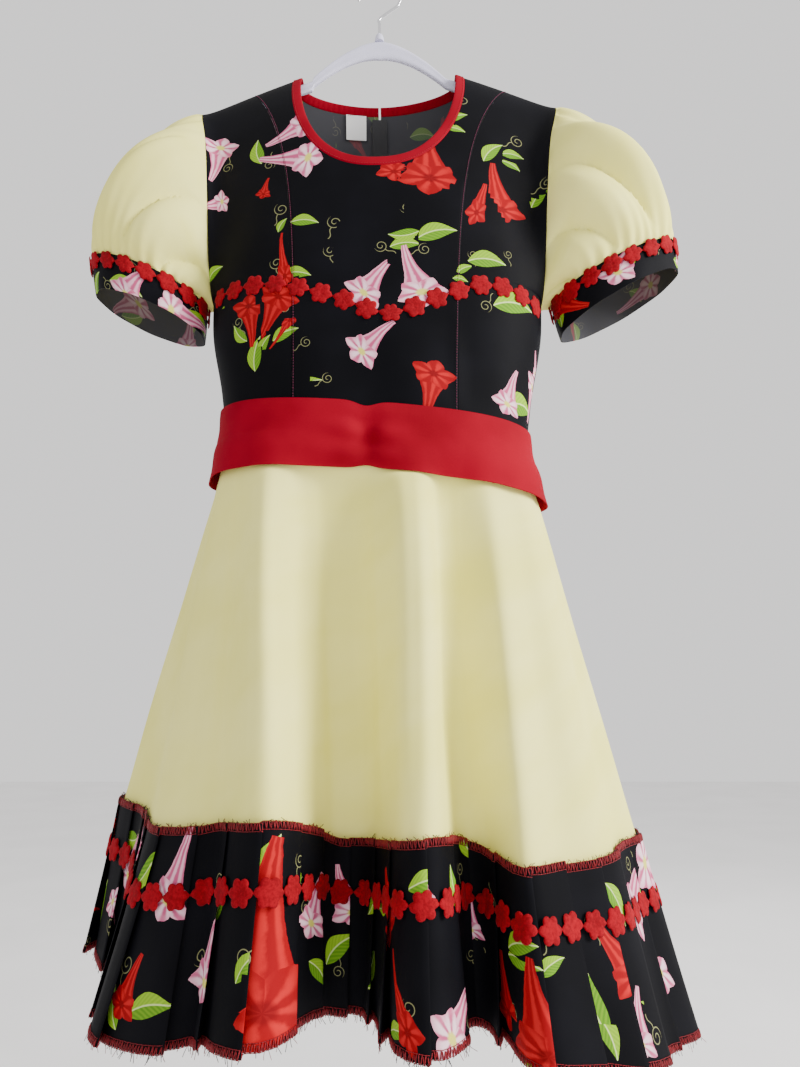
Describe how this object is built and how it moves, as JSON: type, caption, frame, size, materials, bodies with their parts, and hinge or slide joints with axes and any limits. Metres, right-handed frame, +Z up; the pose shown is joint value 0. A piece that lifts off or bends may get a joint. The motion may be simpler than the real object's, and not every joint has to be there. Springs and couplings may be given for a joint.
{
  "type": "folk dance dress on a hanger",
  "caption": "Knee-length folk dance dress on a plastic hanger: dark printed bodice, pale puff sleeves and flared skirt, red sash, pleated printed flounce and flower tape.",
  "frame": {"origin": "inside of the crown of the hanger's wire hook, where a rail or a wall hook holds the dress", "axes": "+X to the right as seen from the front of the dress, +Y from its front to its back, +Z up"},
  "size_m": [0.6488, 0.3451, 1.1496],
  "materials": {
    "black_print": "smooth crepe with a printed floral repeat",
    "pale_yellow": "smooth matt suiting",
    "sash_red": "smooth matt suiting",
    "trim_red": "velvet flower tape",
    "hanger_lilac": "moulded, satin gloss",
    "label_white": "woven satin, blank",
    "zip_black": "woven zip tape",
    "chrome": "polished wire"
  },
  "bodies": {
    "dress": {"hanger_body": "hanger_lilac", "hanger_nub": "hanger_lilac", "hanger_hook": "chrome", "bodice_front_centre": "black_print", "bodice_front_side_left": "black_print", "bodice_front_side_right": "black_print", "bodice_back_left": "black_print", "bodice_back_right": "black_print", "neck_binding": "sash_red", "bodice_trim": "trim_red", "zip_tape": "zip_black", "zip_slider": "chrome", "size_label": "label_white", "sleeve_left": "pale_yellow", "sleeve_right": "pale_yellow", "cuff_left": "black_print", "cuff_right": "black_print", "sleeve_trim_left": "trim_red", "sleeve_trim_right": "trim_red", "belt_front": "sash_red", "belt_back": "sash_red", "skirt_front": "pale_yellow", "skirt_back_left": "pale_yellow", "skirt_back_right": "pale_yellow", "flounce_front": "black_print", "flounce_back": "black_print", "flounce_trim_front": "trim_red", "flounce_trim_back": "trim_red"},
    "zip_pull": {"zip_pull_tab": "chrome"}
  },
  "joints": [
    {"name": "zip_pull_swing", "type": "hinge", "parent": "dress", "child": "zip_pull", "pos_m": [0, 0.04688, -0.17335], "axis": [1, 0, 0], "range_deg": [0, 140]}
  ]
}
